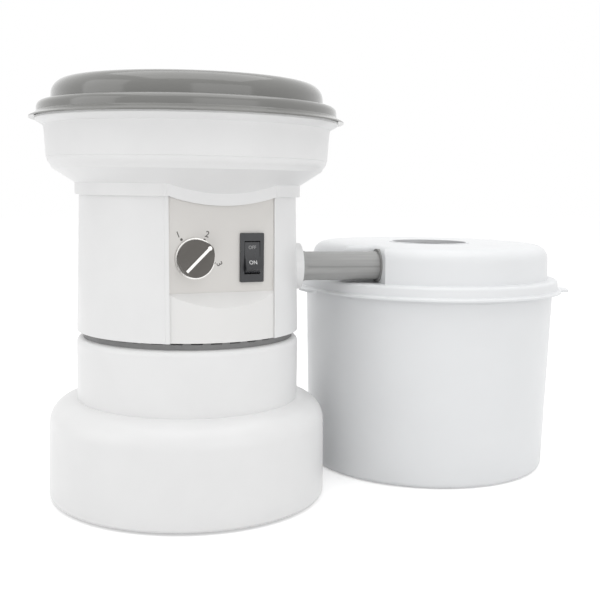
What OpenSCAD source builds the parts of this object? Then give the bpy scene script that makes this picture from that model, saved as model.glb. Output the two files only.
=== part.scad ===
// Electric grain mill with a flour canister beside it.
// The mill's axis is Z and its front is -Y. The canister stands on the outlet's line, to the right.

/* [Mill housing] */
// How far the bell foot stands out past the ring
bell_out = 21; // [18:0.2:24]
// How much the bell narrows up to its shoulder
bell_draft = 0.8; // [0:0.2:2]
// Radius of the bell's rounded shoulder
shoulder_r = 18; // [12:1:19]
// Height of the bell's flat top, where the ring stands
bell_h = 73.6; // [66:0.2:84]
// Height of the bell's lower edge above the floor
floor_gap = 1.5; // [1:0.1:3]
// Radius of the plain ring above the bell
ring_r = 81.4; // [80:0.2:84]
// Height of the ring
ring_h = 45.8; // [38:0.2:54]
// Height of the air gap between the ring and the main housing
vent_h = 4.8; // [3:0.2:7]
// Depth of the air gap behind the ring's face
vent_depth = 4.4; // [3:0.2:5]
// How far the main housing's lower end lies inside the ring
body_in = 0.2; // [0:0.1:1]
// How much the main housing narrows up to its top
body_draft = 2.5; // [1:0.1:3]
// Height of the main housing
body_h = 97.4; // [93:0.1:106]
// Wall thickness of the housing shells
wall = 3; // [2.4:0.1:3.4]

/* [Control panel] */
// Half of the width of the front panel
panel_half = 38; // [36:0.5:39]
// How far the flat of the panel lies inside the housing's outside
panel_in = 10.55; // [10:0.05:11]
// How far the panel lies below the housing around it
panel_step = 0.6; // [0.3:0.1:1]
// Thickness of the panel
panel_t = 2.8; // [2.4:0.1:3]
// Width of the raised lip along both sides of the panel
lip_w = 2.4; // [1.6:0.1:3]
// How far the lip stands out of the housing
lip_out = 0.5; // [0.3:0.1:0.8]
// Height of the shelf under the flat, above the main housing's lower edge
shelf_h = 33.4; // [30:0.2:35]
// Slope of the shelf, in degrees
shelf_slope = 42; // [30:1:46]
// Distance of the knob to the left of the middle
knob_x = 19.8; // [18.6:0.1:21]
// How far the middle of the knob and the switch lies below the main housing's upper edge
control_down = 41; // [39.4:0.2:42.4]
// Radius of the knob
knob_r = 12.9; // [11:0.1:13.4]
// How far the knob stands out
knob_h = 9; // [7:0.5:11]
// Width of the knob's pointer
pointer_w = 2; // [1.6:0.1:2.6]
// Direction of the pointer at rest, in degrees from the right
pointer_turn = 44; // [0:1:90]
// Distance of the switch to the right of the middle
switch_x = 21.2; // [20.6:0.1:22]
// Width of the switch's frame
switch_w = 17.3; // [17:0.1:18]
// Height of the switch's frame
switch_h = 33.6; // [32:0.2:36]
// Width of the rocker
rocker_w = 11; // [10:0.1:11.2]
// Half of the rocker's height
rocker_half = 9.5; // [8:0.1:10]
// Angle that the rocker tips each way
rocker_tip = 12; // [8:0.5:13]

/* [Hopper] */
// How far the collar stands out past the housing's upper edge
collar_out = 3; // [2.8:0.1:4]
// Height of the collar
collar_h = 8.4; // [7:0.1:10]
// Slope of the funnel inside the housing, rise per run
funnel_rise = 0.42; // [0.4:0.01:0.45]
// Slope of the bowl's underside over the panel, rise per run
under_rise = 0.66; // [0.6:0.01:0.7]
// How far the bowl's wall stands out past the collar
bowl_out = 19.6; // [17:0.1:22]
// How much the bowl's wall widens up to its top
bowl_draft = 1.3; // [0.5:0.1:2]
// Height of the bowl above the collar
bowl_h = 45.9; // [42:0.1:60]
// Height of the bowl's slanted underside
bowl_slant_h = 10.4; // [8:0.1:12]
// How far the rim stands out past the bowl's wall
rim_out = 6.2; // [5:0.1:8]
// Wall thickness of the bowl
bowl_t = 2.6; // [2.2:0.1:3]
// Outer radius of the throat that the grain falls through
throat_r = 18; // [17:0.1:19]
// How far the hopper lid's thin edge stands out past the rim
lid_edge_out = 4; // [2:0.1:6]
// How far the hopper lid's dome lies inside the rim
dome_in = 11.2; // [9:0.1:13]
// Height of the hopper lid above the rim
dome_h = 27.5; // [22:0.5:34]
// Thickness of the hopper lid
dome_t = 2; // [1.6:0.1:2.4]

/* [Milling chamber] */
// Gap between the spinning head and the chamber's wall
chamber_gap = 4.2; // [3:0.1:4.8]
// Wall thickness of the chamber
chamber_t = 3; // [2.4:0.1:3.4]
// Gap between the fins' ends and the other head
fin_gap = 2.7; // [1:0.1:3]
// Height of the fins on both heads
fin_h = 15; // [12:0.5:16]
// Thickness of each ring of fins
fin_t = 2.2; // [1.8:0.1:2.6]
// How far the chamber's outside lies inside the housing's upper edge
chamber_in = 30.7; // [30.2:0.1:32.2]
// Width of the slots between the fins
slot_w = 2.4; // [1.8:0.1:2.8]
// Outer radius of the feed tube in the middle
feed_r = 12; // [11:0.1:12.4]

/* [Feed drive] */
// Pitch of the knob's pinion teeth, as module
gear_module = 0.6; // [0.5:0.05:0.65]
// Number of pinion teeth for a full turn
pinion_teeth = 10; // [9:1:11]
// Pressure angle of the teeth, in degrees
pressure_angle = 25; // [22:1:27]
// Thickness of the rack and pinion along the knob's axis
gear_t = 6; // [4:0.5:7]
// Travel of the feed sleeve, up from rest
feed_up = 3.3; // [3.2:0.1:3.4]
// Travel of the feed sleeve, down from rest
feed_down = 4.4; // [4.3:0.1:4.6]

/* [Motor] */
// Radius of the motor shaft
shaft_r = 5; // [4:0.1:5.6]
// Thickness of the field coils
coil_t = 4.4; // [3:0.1:6]
// Length of the stator's iron
stator_h = 44; // [38:1:46]
// Radius of the armature
armature_r = 27.3; // [24:0.1:28]
// Radius of the commutator
commutator_r = 14; // [12:0.5:15]
// Gap between the cooling fan and the posts round it
fan_gap = 2.1; // [1:0.1:6]
// Number of fan blades
fan_blades = 11; // [7:1:15]

/* [Canister] */
// Direction of the outlet, in degrees from +X
outlet_turn = -12; // [-16:1:-8]
// How far the outlet lies below the main housing's upper edge
outlet_down = 52.2; // [51.4:0.1:53]
// Outer radius of the flour tube
tube_r = 11; // [10:0.1:11]
// Wall thickness of the flour tube
tube_t = 2; // [1.6:0.1:2.6]
// Gap between the bell foot and the canister
can_gap = 12.45; // [8:0.05:20]
// How far the flour tube's axis lies inside the canister's wall
tube_in = 48.2; // [47.2:0.1:53.2]
// Radius of the canister below its lid
can_top_r = 103.2; // [100:0.1:106]
// How much the canister narrows down to its foot
can_draft = 3.8; // [2:0.1:6]
// Clear height between the canister's bead and the flour tube
tube_over = 6.4; // [5.8:0.1:8]
// Wall thickness of the canister
can_t = 2.4; // [2:0.1:3]
// How far the canister lid's ring stands out past the canister
lid_ring_out = 4; // [3.8:0.1:5]
// How far the canister lid's thin edge stands out past its ring
lid_flange_out = 3.2; // [2:0.1:5]
// How far the canister lid's dome lies inside its ring
lid_dome_in = 8.6; // [7:0.1:10]
// Height of the canister lid's dome above the flour tube
dome_over = 4.1; // [3.6:0.1:8]
// Radius of the rounding on the dome's edges
lid_round = 11; // [6:0.5:12]
// Thickness of the canister lid
lid_t = 2.5; // [2.2:0.1:2.6]
// Radius of the filter's well
filter_r = 31; // [26:0.5:33]
// Depth of the filter's well
filter_depth = 22; // [18:0.5:24]
// Depth of the cup below the dome
cup_h = 54; // [40:1:70]

/* [Fits] */
// Radial running clearance of shafts in their bearings
run_fit = 0.05; // [0.02:0.01:0.09]
// Clearance between pieces that slide or lift past each other
slide_fit = 0.3; // [0.2:0.05:0.4]
// Radius of the screws in the housing
screw_r = 2; // [1.6:0.1:2.2]
// Clearance of a screw in its hole
screw_fit = 0.15; // [0.1:0.05:0.3]

/* [Hidden] */

$fn = 96;
eps = 0.01;

// Heights of the mill's main joints
ring_top = bell_h + ring_h;
body_low = ring_top + vent_h;
body_top = body_low + body_h;
collar_top = body_top + collar_h;
rim_top = collar_top + bowl_h;
control_z = body_top - control_down;
outlet_z = body_top - outlet_down;
shelf_z = body_low + shelf_h;

// Radii of the mill's outside, each from the one below it
bell_r = ring_r + bell_out;
body_low_r = ring_r - body_in;
body_top_r = body_low_r - body_draft;
collar_r = body_top_r + collar_out;
bowl_low_r = collar_r + bowl_out;
bowl_top_r = bowl_low_r + bowl_draft;
rim_r = bowl_top_r + rim_out;
lid_edge_r = rim_r + lid_edge_out;
dome_r = rim_r - dome_in;

// Distance from the mill's axis to the flat of the panel
panel_d = body_r(control_z) - panel_in;

// Long screws that hold the housing rings together
ring_inner_r = ring_r - wall;
flange_r = ring_r - 11.4;
tie_pcd_r = ring_r - 7.2;
tie_boss_r = 4.8;
tie_boss_h = 12;
tie_angles = [45, 135, 225, 315];

// Bell and base plate
shoulder_c = [bell_r - bell_draft - shoulder_r, bell_h - shoulder_r];
edge_round = 2.5;
plate_t = 3;
plate_z = floor_gap + 1;
plate_r = bell_r - wall - 1;
base_post_pcd_r = bell_r - 16.4;
base_post_r = 5;
base_screw_len = 16;
foot_pcd_r = bell_r - 24.4;
foot_r = 9;
gland_z = 26;
gland_hole_r = 7;
cord_r = 3.7;

// Milling chamber, from its top down
head_t = 3;
cover_t = 3;
floor_extra = 0.5;
rotor_lift = 4;
spout_cover = 0.7;
chamber_top = outlet_z + tube_r + spout_cover;
cover_top = chamber_top + cover_t;
chamber_h = chamber_t + floor_extra + rotor_lift + head_t + fin_h + fin_gap + head_t;
chamber_r = body_top_r - chamber_in;
head_r = chamber_r - chamber_t - chamber_gap;
head_rim = 0.6;
first_ring_r = feed_r + 4.6;
fin_pitch = (head_r - head_rim - fin_t / 2 - first_ring_r) / 5;
rotor_rings = [first_ring_r + fin_pitch, first_ring_r + 3 * fin_pitch, first_ring_r + 5 * fin_pitch];
stator_rings = [first_ring_r, first_ring_r + 2 * fin_pitch, first_ring_r + 4 * fin_pitch];
lug_pcd_r = chamber_r + 3;
lug_r = 5;
lug_h = 7;
lug_angles = [40, 140, 220, 320];
seal_r = chamber_r - chamber_t / 2;
seal_groove = 0.6;

// Deck that carries the motor and the milling chamber
deck_t = 3;
deck_top = chamber_top - chamber_h;
deck_low = deck_top - deck_t;
deck_hole_r = 19;
post_pcd_r = body_top_r - 12.7;
post_r = 4.5;
post_angles = [30, 150, 210, 330];

// Spinning head and its nut
chamber_floor = deck_top + chamber_t + floor_extra;
rotor_z = chamber_floor + rotor_lift;
rotor_fin_z = rotor_z + head_t;
stator_fin_top = chamber_top - head_t;
hub_r = 9;
nut_r = 7;
nut_h = 3;
nut_z = rotor_fin_z + 2.5;

// Feed sleeve, which slides on the hopper's throat
throat_t = 3;
sleeve_t = 2.5;
sleeve_floor_t = 1.6;
sleeve_r = throat_r + slide_fit + sleeve_t;
sleeve_low = cover_top + feed_down + 0.5;
sleeve_top = funnel_z(throat_r + slide_fit) - feed_up - 0.4;
throat_low = sleeve_low + sleeve_floor_t + feed_up + 0.4;
feed_tube_low = nut_z + nut_h + feed_down + 0.9;
arm_t = 5.5;
arm_w = 6;

// Rack and pinion: the knob's spindle turns a small pinion that lifts the sleeve
pitch_r = gear_module * pinion_teeth / 2;
addendum = 0.8 * gear_module;
dedendum = 1.05 * gear_module;
backlash = 0.16;
gear_y = -(panel_d - 13.2);
rack_x = -(knob_x + pitch_r);
rack_t = 4.4;
rack_low = control_z - feed_up - 8;
spindle_r = 3;
bushing_r = 5.5;
bushing_len = 9;

// Knob and switch
knob_gap = slide_fit;
knob_ring_h = 1.6;
knob_ring_t = 0.9;
inlay_h = 0.5;
bezel_h = 1.6;
switch_body_w = switch_w - 2.3;
switch_body_h = switch_h - 4;
switch_depth = 16.4;
pivot_in = 4;
pivot_d = panel_d - pivot_in;
pivot_r = 1.2;

// Rocker's face above its pivot, in the middle and at the ends, and the circle that its ends follow
rocker_mid = 5.8;
rocker_edge = rocker_mid + rocker_half * tan(rocker_tip) - 0.9;
rocker_sweep_r = norm([rocker_edge, rocker_half]);

// Front of the collar, where it drops in an arc across the panel
apron_gap = slide_fit;
apron_t = 2.4;
apron_drop = 5.9;
apron_arc_r = (pow(panel_half, 2) + pow(apron_drop, 2)) / (2 * apron_drop);
apron_front = panel_d + apron_gap + apron_t;
under_in_r = panel_d + apron_gap;
panel_top = under_z(under_in_r) - 0.8;

// Bend between the bowl's slanted underside and its wall
bend_z = collar_top + 17.6;
bend_r = 6.5;
bend_in_r = 5;

// Motor, from its upper frame down
isolator_r = 7;
isolator_h = 8;
upper_frame_t = 3;
upper_frame_low = deck_low - isolator_h - upper_frame_t;
fan_space = 20;
brush_space = 36;
stator_top = upper_frame_low - fan_space;
stator_low = stator_top - stator_h;
lower_frame_low = stator_low - brush_space;
yoke_t = 9;
pole_angle = 60;
neck_angle = 47;
coil_gap = 0.3;
coil_over = 10;
shoe_in_r = armature_r + 0.8;
shoe_t = 4.9;
stator_r = shoe_in_r + shoe_t + coil_t + 2 * coil_gap + yoke_t;
bolt_pcd_r = stator_r - 3.5;
bolt_post_r = 3.4;
bolt_angles = [45, 135, 225, 315];
mount_pcd_r = stator_r + 10;
mount_screw_r = 2.4;
mount_ear_r = 7;

// Bearings, brushes and fan
bearing_r = 14;
bearing_h = 10;
small_bearing_r = 13;
small_bearing_h = 8;
upper_bearing_z = upper_frame_low + 2.5;
lower_bearing_z = lower_frame_low + 2;
shaft_low = lower_bearing_z + 0.5;
commutator_z = lower_frame_low + 14;
commutator_h = 14;
brush_z = commutator_z + commutator_h / 2;
brush_w = 6;
brush_h = 8;
brush_len = 15;
holder_t = 1.2;
fan_z = stator_top + 12;
fan_h = 6;
fan_r = bolt_pcd_r - bolt_post_r - fan_gap;

// Outlet and tube
port_r = tube_r + 6.5;
port_out = 4.2;
port_d = body_r(outlet_z) + port_out;
port_seat = 2.6;
spout_r = tube_r - 0.1;
bore_r = tube_r - tube_t;
gasket_t = 2;
gasket_proud = 0.4;
flare_r = tube_r + 1.8;
flare_len = 4;
tube_start = port_d + gasket_proud + slide_fit;

// Canister, measured from its own axis
can_back = can_top_r - tube_in;
can_reach = sqrt(pow(bell_r + can_gap + can_top_r, 2) - pow(can_back, 2));
can_h = outlet_z - tube_r - tube_over;
can_low_r = can_top_r - can_draft;
can_floor_t = 2.5;
can_round = 4;
bead_r = can_top_r + 1.8;
bead_h = 3.5;
gasket_h = 1.5;

// Canister lid
lid_low = can_h - 6;
lid_top = outlet_z + tube_r + dome_over;
ledge_z = can_h + gasket_h + lid_t + 0.4;
lid_ring_r = can_top_r + lid_ring_out;
lid_flange_r = lid_ring_r + lid_flange_out;
lid_dome_r = lid_ring_r - lid_dome_in;
tab_angles = [190, -20];
tab_w = 26;
tab_reach = 5.6;
tab_t = 1.8;
well_t = 2;

// Cup under the lid: the flour and air come in along its wall
cup_r = can_back + bore_r;
cup_t = 2;
cup_top = lid_top - lid_t - slide_fit;
cup_low = cup_top - cup_h;
cup_slant_h = 12;
cup_mouth_r = 30;

// Notch in the lid that the flour tube runs into
notch_end = cup_r;
notch_back = can_back - tube_r - 3;
notch_corner_r = 5;
notch_floor = ledge_z;
grommet_r = tube_r + 2;
grommet_flange = 1.2;
duct_r = tube_r + 1.4;

// ---------- helpers ----------

// Points of an arc round c, from angle a to angle b
function arc(c, r, a, b, n = 8) =
    [for (i = [0:n]) c + r * [cos(a + (b - a) * i / n), sin(a + (b - a) * i / n)]];

function backwards(list) = [for (i = [len(list) - 1:-1:0]) list[i]];

// The point at radius r and angle a
function polar(r, a) = r * [cos(a), sin(a)];

// Radius of the main housing's outside at height z
function body_r(z) = body_low_r + (body_top_r - body_low_r) * (z - body_low) / body_h;

// Height of the hopper funnel's underside at radius r
function funnel_z(r) = collar_top - (collar_r - r) * funnel_rise;

// Height of the bowl's underside over the panel, at radius r
function under_z(r) = collar_top - (collar_r - r) * under_rise;

module turned(points) {
    rotate_extrude() polygon(points);
}

module ring(r_out, r_in, z0, z1) {
    translate([0, 0, z0]) linear_extrude(z1 - z0) difference() {
        circle(r_out);
        circle(r_in);
    }
}

module disc(r, z0, z1) {
    translate([0, 0, z0]) cylinder(h = z1 - z0, r = r);
}

// A box given by its lowest and highest corner
module box(low, high) {
    translate(low) cube(high - low);
}

module around(angles, r, z = 0) {
    for (a = angles) rotate([0, 0, a]) translate([r, 0, z]) children();
}

// Turns +Z to point out of the panel, and sets the place on it
module on_panel(x, z, d = 0) {
    translate([x, -d, z]) rotate([90, 0, 0]) children();
}

// Turns +Z along the outlet, d away from the mill's axis
module on_outlet(d) {
    rotate([0, 0, outlet_turn]) translate([d, 0, outlet_z]) rotate([0, 90, 0]) children();
}

// The canister's own frame: X runs away from the mill, Y to the back
module at_canister() {
    rotate([0, 0, outlet_turn]) translate([can_reach, can_back, 0]) children();
}

// A screw with a round head below or above its shank
module screw(r, low, high, head_low = true) {
    head_r = 1.9 * r;
    head_h = 1.3 * r;
    disc(r, low, high);
    if (head_low) disc(head_r, low - head_h, low);
    else disc(head_r, high, high + head_h);
}

// ---------- mill: lower shells ----------

module bell_base() {
    inner_r = shoulder_r - wall;
    color([0.93, 0.93, 0.94]) difference() {
        union() {
            turned(concat(
                arc([bell_r - edge_round, floor_gap + edge_round], edge_round, -90, 0, 5),
                arc(shoulder_c, shoulder_r, 0, 90, 12),
                [[flange_r, bell_h], [flange_r, bell_h - wall]],
                arc(shoulder_c, inner_r, 90, 0, 12),
                [[bell_r - wall, floor_gap + edge_round], [bell_r - wall, floor_gap]]
            ));
            around([0, 90, 180, 270], base_post_pcd_r)
                disc(base_post_r, plate_z + plate_t, bell_h - wall / 2 - 1);
        }
        around(tie_angles, tie_pcd_r) disc(screw_r + screw_fit, bell_h - wall - 1, bell_h + 1);
        around([0, 90, 180, 270], base_post_pcd_r)
            disc(screw_r + screw_fit, plate_z, plate_z + base_screw_len + 2);
        on_panel(0, gland_z, -bell_r + 8) rotate([180, 0, 0]) cylinder(h = 16, r = gland_hole_r);
    }
}

module base_plate() {
    slot_in_r = 34;
    slot_out_r = 62;
    color([0.86, 0.86, 0.87]) difference() {
        union() {
            disc(plate_r, plate_z, plate_z + plate_t);
            ring(plate_r - 1, plate_r - 3, plate_z + plate_t - eps, plate_z + plate_t + 3);
        }
        // air slots for the motor's cooling
        for (a = [0:15:345]) rotate([0, 0, a + 7.5])
            box([slot_in_r, -2, plate_z - 1], [slot_out_r, 2, plate_z + plate_t + 1]);
        around([0, 90, 180, 270], base_post_pcd_r)
            disc(screw_r + screw_fit, plate_z - 1, plate_z + plate_t + 1);
        around(tie_angles, foot_pcd_r) disc(3, plate_z - 1, plate_z + plate_t + 1);
        around([0, 90, 180, 270], base_post_pcd_r)
            disc(base_post_r, plate_z + plate_t, plate_z + plate_t + 4);
    }
}

module rubber_feet() {
    plug_fit = 0.1;
    color([0.16, 0.16, 0.17]) around(tie_angles, foot_pcd_r) {
        disc(foot_r, 0, plate_z);
        disc(3 - plug_fit, plate_z - eps, plate_z + plate_t);
        disc(3.8, plate_z + plate_t, plate_z + plate_t + 1.5);
    }
}

module base_screws() {
    head_h = 1.3 * screw_r;
    color([0.7, 0.7, 0.72]) around([0, 90, 180, 270], base_post_pcd_r) {
        disc(screw_r, plate_z, plate_z + base_screw_len);
        disc(1.9 * screw_r, max(0.4, plate_z - head_h), plate_z);
    }
}

module cord_gland() {
    color([0.12, 0.12, 0.13])
        translate([0, bell_r, gland_z]) rotate([-90, 0, 0]) difference() {
            union() {
                translate([0, 0, -6]) cylinder(h = 6 + eps, r = gland_hole_r - 0.1);
                cylinder(h = 2.4, r1 = gland_hole_r + 3, r2 = gland_hole_r + 2);
                translate([0, 0, -8]) cylinder(h = 2, r = gland_hole_r + 2);
            }
            translate([0, 0, -9]) cylinder(h = 14, r = cord_r);
        }
}

module ring_housing() {
    crown = 4.5;
    color([0.93, 0.93, 0.94]) difference() {
        turned(concat(
            [[flange_r, bell_h], [ring_r, bell_h]],
            arc([ring_r - crown, ring_top - crown], crown, 0, 90, 8),
            [[flange_r, ring_top], [flange_r, ring_top - wall], [ring_inner_r, ring_top - wall],
             [ring_inner_r, bell_h + wall], [flange_r, bell_h + wall]]
        ));
        around(tie_angles, tie_pcd_r) disc(screw_r + screw_fit, bell_h - 1, ring_top + 1);
    }
}

module vent_ring() {
    notch_w = 8;
    notch_h = vent_h / 4;
    outer_r = ring_r - vent_depth;
    color([0.45, 0.45, 0.46]) difference() {
        ring(outer_r, flange_r + 0.4, ring_top, body_low);
        // the air leaves through notches in the upper edge
        for (a = [5:10:355]) rotate([0, 0, a])
            box([flange_r - 2, -notch_w / 2, body_low - notch_h],
                [outer_r + 1, notch_w / 2, body_low + 1]);
        around(tie_angles, tie_pcd_r) disc(screw_r + screw_fit, ring_top - 1, body_low + 1);
    }
}

// The main housing's outside, less a margin all over
module body_solid(inset = 0) {
    translate([0, 0, body_low])
        cylinder(h = body_h, r1 = body_low_r - inset, r2 = body_top_r - inset);
}

// A lip along one side of the panel, from the housing's lower edge up to its top
module panel_lip(side) {
    middle_x = side * (panel_half + lip_w / 2);
    intersection() {
        box([middle_x - lip_w / 2, -bell_r, body_low], [middle_x + lip_w / 2, -body_low_r / 2, body_top]);
        body_solid(-lip_out);
    }
}

module main_housing() {
    front = panel_d - panel_t - 1.4;
    color([0.93, 0.93, 0.94]) difference() {
        union() {
            difference() {
                union() {
                    body_solid();
                    for (side = [-1, 1]) panel_lip(side);
                }
                translate([0, 0, -1]) body_solid(wall);
                translate([0, 0, 1]) body_solid(wall);
            }
            ring(body_low_r - wall / 2, flange_r, body_low, body_low + wall);
            disc(body_r(deck_top) - wall / 2, deck_low, deck_top);
            around(tie_angles, tie_pcd_r) disc(tie_boss_r, body_low, body_low + tie_boss_h);
            around(lug_angles, lug_pcd_r) disc(lug_r, deck_low - lug_h, deck_low + eps);
        }
        disc(deck_hole_r, deck_low - 1, deck_top + 1);
        // front opening that the panel closes
        difference() {
            box([-panel_half, -bell_r, body_low - 1], [panel_half, 0, body_top + 1]);
            body_solid(panel_step + panel_t + slide_fit + 0.2);
        }
        box([-panel_half, -bell_r, deck_low - 1], [panel_half, -front, deck_top + 1]);
        // opening for the spout
        on_outlet(chamber_r + 6) cylinder(h = 60, r = spout_r + slide_fit);
        around(tie_angles, tie_pcd_r) disc(screw_r + screw_fit, body_low - 1, body_low + tie_boss_h - 1);
        around([0, 90, 180, 270], mount_pcd_r)
            disc(mount_screw_r + screw_fit, deck_low - 1, deck_top + 1);
        around(post_angles, post_pcd_r) disc(screw_r + screw_fit, deck_low - 1, deck_top + 1);
        around(lug_angles, lug_pcd_r) disc(screw_r + screw_fit, deck_low - lug_h + 1, deck_top + 1);
    }
}

module housing_screws() {
    color([0.7, 0.7, 0.72]) around(tie_angles, tie_pcd_r)
        screw(screw_r, bell_h - wall, body_low + tie_boss_h - 2);
}

// ---------- control panel ----------

// The space in front of the panel's flat and above its shelf, moved back by inset
module panel_recess(inset) {
    far = bell_r;
    drop = (far - panel_d) * tan(shelf_slope);
    corner = -(panel_d - inset);
    low = shelf_z - inset;
    translate([-panel_half - 2, 0, 0]) rotate([90, 0, 90]) linear_extrude(2 * panel_half + 4)
        polygon([
            [corner, low],
            [-far, low - drop],
            [-far, collar_top + 40],
            [corner, collar_top + 40]
        ]);
}

module panel_solid(inset) {
    over = 11;
    difference() {
        translate([0, 0, body_low - 1]) cylinder(
            h = body_h + over + 1,
            r1 = body_r(body_low - 1) - inset,
            r2 = body_r(body_top + over) - inset
        );
        panel_recess(inset - panel_step);
    }
}

module control_panel() {
    color([0.9, 0.89, 0.88]) difference() {
        intersection() {
            panel_solid(panel_step);
            box([-panel_half, -bell_r, body_low + slide_fit], [panel_half, -panel_d / 2, panel_top]);
        }
        panel_solid(panel_step + panel_t);
        on_panel(-knob_x, control_z, panel_d - 10) cylinder(h = 20, r = bushing_r + 0.1);
        box([switch_x - switch_body_w / 2 - 0.2, -panel_d - 5, control_z - switch_body_h / 2 - 0.2],
            [switch_x + switch_body_w / 2 + 0.2, -panel_d + 10, control_z + switch_body_h / 2 + 0.2]);
    }
}

module switch_body() {
    half_w = switch_w / 2;
    half_h = switch_h / 2;
    body_half_w = switch_body_w / 2;
    body_half_h = switch_body_h / 2;
    open_half_w = rocker_w / 2 + slide_fit;
    back = panel_d - switch_depth;
    corner = 0.8;
    // the rocker's ends swing on a circle, so the frame's opening is the narrower one
    frame_open_half = sqrt(pow(rocker_sweep_r, 2) - pow(pivot_in, 2)) + slide_fit;
    inner_open_half = rocker_sweep_r + slide_fit;
    color([0.07, 0.07, 0.08]) difference() {
        union() {
            on_panel(switch_x, control_z, panel_d) linear_extrude(bezel_h) polygon(concat(
                arc([half_w - corner, half_h - corner], corner, 0, 90, 3),
                arc([-half_w + corner, half_h - corner], corner, 90, 180, 3),
                arc([-half_w + corner, -half_h + corner], corner, 180, 270, 3),
                arc([half_w - corner, -half_h + corner], corner, 270, 360, 3)
            ));
            box([switch_x - body_half_w, -panel_d - eps, control_z - body_half_h],
                [switch_x + body_half_w, -back, control_z + body_half_h]);
        }
        box([switch_x - open_half_w, -panel_d - bezel_h - 1, control_z - frame_open_half],
            [switch_x + open_half_w, -back - 2, control_z + frame_open_half]);
        box([switch_x - open_half_w, -panel_d, control_z - inner_open_half],
            [switch_x + open_half_w, -back - 2, control_z + inner_open_half]);
        translate([switch_x - open_half_w - 1, -pivot_d, control_z]) rotate([0, 90, 0])
            cylinder(h = 2 * open_half_w + 2, r = pivot_r + run_fit);
    }
}

module switch_terminals() {
    back = panel_d - switch_depth;
    half_w = 3.2;
    half_t = 0.4;
    reach = 4.5;
    color([0.8, 0.68, 0.35]) for (z = [control_z - 8, control_z + 8])
        box([switch_x - half_w, -back, z - half_t], [switch_x + half_w, -back + reach, z + half_t]);
}

// The rocker's side shape, with its pivot at [0, 0]: x stands out of the panel, y is up
module rocker_outline() {
    face_x = rocker_edge + 0.4;
    face_y = rocker_half - 0.3;
    edge = atan2(rocker_half, rocker_edge);
    skirt = edge + 42;
    polygon(concat(
        [[rocker_mid, 0], [face_x, face_y]],
        arc([0, 0], rocker_sweep_r, edge, skirt, 6),
        [[-3, 2.5], [-3, -2.5]],
        arc([0, 0], rocker_sweep_r, -skirt, -edge, 6),
        [[face_x, -face_y]]
    ));
}

module switch_rocker() {
    color([0.1, 0.1, 0.11]) translate([switch_x, -pivot_d, control_z]) {
        rotate([-rocker_tip, 0, 0]) translate([-rocker_w / 2, 0, 0]) rotate([90, 0, 90])
            mirror([1, 0, 0]) linear_extrude(rocker_w) rocker_outline();
        translate([-rocker_w / 2 - 1.1, 0, 0]) rotate([0, 90, 0])
            cylinder(h = rocker_w + 2.2, r = pivot_r);
    }
}

module spindle_bushing() {
    color([0.8, 0.7, 0.4]) on_panel(-knob_x, control_z, panel_d - bushing_len) difference() {
        union() {
            cylinder(h = bushing_len, r = bushing_r);
            translate([0, 0, bushing_len - panel_t - 2.2]) cylinder(h = 2.2, r = bushing_r + 2.5);
        }
        translate([0, 0, -1]) cylinder(h = bushing_len + 2, r = spindle_r + run_fit);
    }
}

// Angle that an involute has unrolled when it reaches radius r
function involute(base, r) = sqrt(pow(r / base, 2) - 1) * 180 / PI - acos(base / r);

module pinion_outline() {
    base = pitch_r * cos(pressure_angle);
    root = pitch_r - dedendum;
    tip = pitch_r + addendum;
    half_tooth = 90 / pinion_teeth - backlash / pitch_r * 45 / PI;
    steps = 4;
    radii = [for (i = [0:steps]) base + (tip - base) * i / steps];
    flank = [for (r = radii) [r, half_tooth + involute(base, pitch_r) - involute(base, r)]];
    foot = [root, flank[0][1]];
    polygon([for (t = [0:pinion_teeth - 1]) each concat(
        [for (p = concat([foot], flank)) polar(p[0], 360 * t / pinion_teeth - p[1])],
        [for (p = backwards(concat([foot], flank))) polar(p[0], 360 * t / pinion_teeth + p[1])]
    )]);
}

module knob_spindle() {
    gear_back = -gear_y - gear_t / 2;
    gear_front = gear_back + gear_t;
    knob_end = panel_d + knob_gap + knob_h - 3;
    stub = 1.5;
    color([0.75, 0.75, 0.77]) {
        on_panel(-knob_x, control_z, gear_front - eps) cylinder(h = knob_end - gear_front, r = spindle_r);
        on_panel(-knob_x, control_z, gear_back - stub)
            cylinder(h = gear_t + stub, r = pitch_r - dedendum - 0.2);
        // a gap between two teeth faces the rack
        on_panel(-knob_x, control_z, gear_back) rotate([0, 0, 180 + 180 / pinion_teeth])
            linear_extrude(gear_t) pinion_outline();
    }
}

// The knob before its grip is scooped out
module knob_blank() {
    chamfer = 0.6;
    turned([
        [0, 0],
        [knob_r, 0],
        [knob_r - 0.3, knob_h - chamfer],
        [knob_r - 0.3 - chamfer, knob_h],
        [0, knob_h]
    ]);
}

// Plan of the pointer's inlay, less a margin all round: a bar with a round dot at its tip
module pointer_plan(inset = 0) {
    reach = knob_r - 1 - inset;
    dot_r = 0.75 * pointer_w - inset;
    union() {
        translate([-reach, inset - pointer_w / 2]) square([2 * reach - dot_r, pointer_w - 2 * inset]);
        translate([reach - dot_r, 0]) circle(dot_r, $fn = 32);
    }
}

module texture_knob() {
    ridge_half = pointer_w * 0.75 + 0.4;
    scoop_r = 13;
    scoop_up = 12;
    scoop_z = knob_h - 0.6 + scoop_up;
    color([0.42, 0.40, 0.38]) on_panel(-knob_x, control_z, panel_d + knob_gap) rotate([0, 0, pointer_turn])
        difference() {
            knob_blank();
            for (side = [-1, 1]) translate([-knob_r - 2, side * (ridge_half + scoop_r), scoop_z])
                rotate([0, 90, 0]) cylinder(h = 2 * knob_r + 4, r = norm([scoop_r, scoop_up]));
            translate([0, 0, knob_h - inlay_h]) linear_extrude(2) pointer_plan();
            translate([0, 0, -1]) cylinder(h = knob_h - 2 + 0.1, r = spindle_r + run_fit);
            ring(knob_r + 2, knob_r - knob_ring_t - 0.3, -1, knob_ring_h + 0.1);
        }
}

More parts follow.
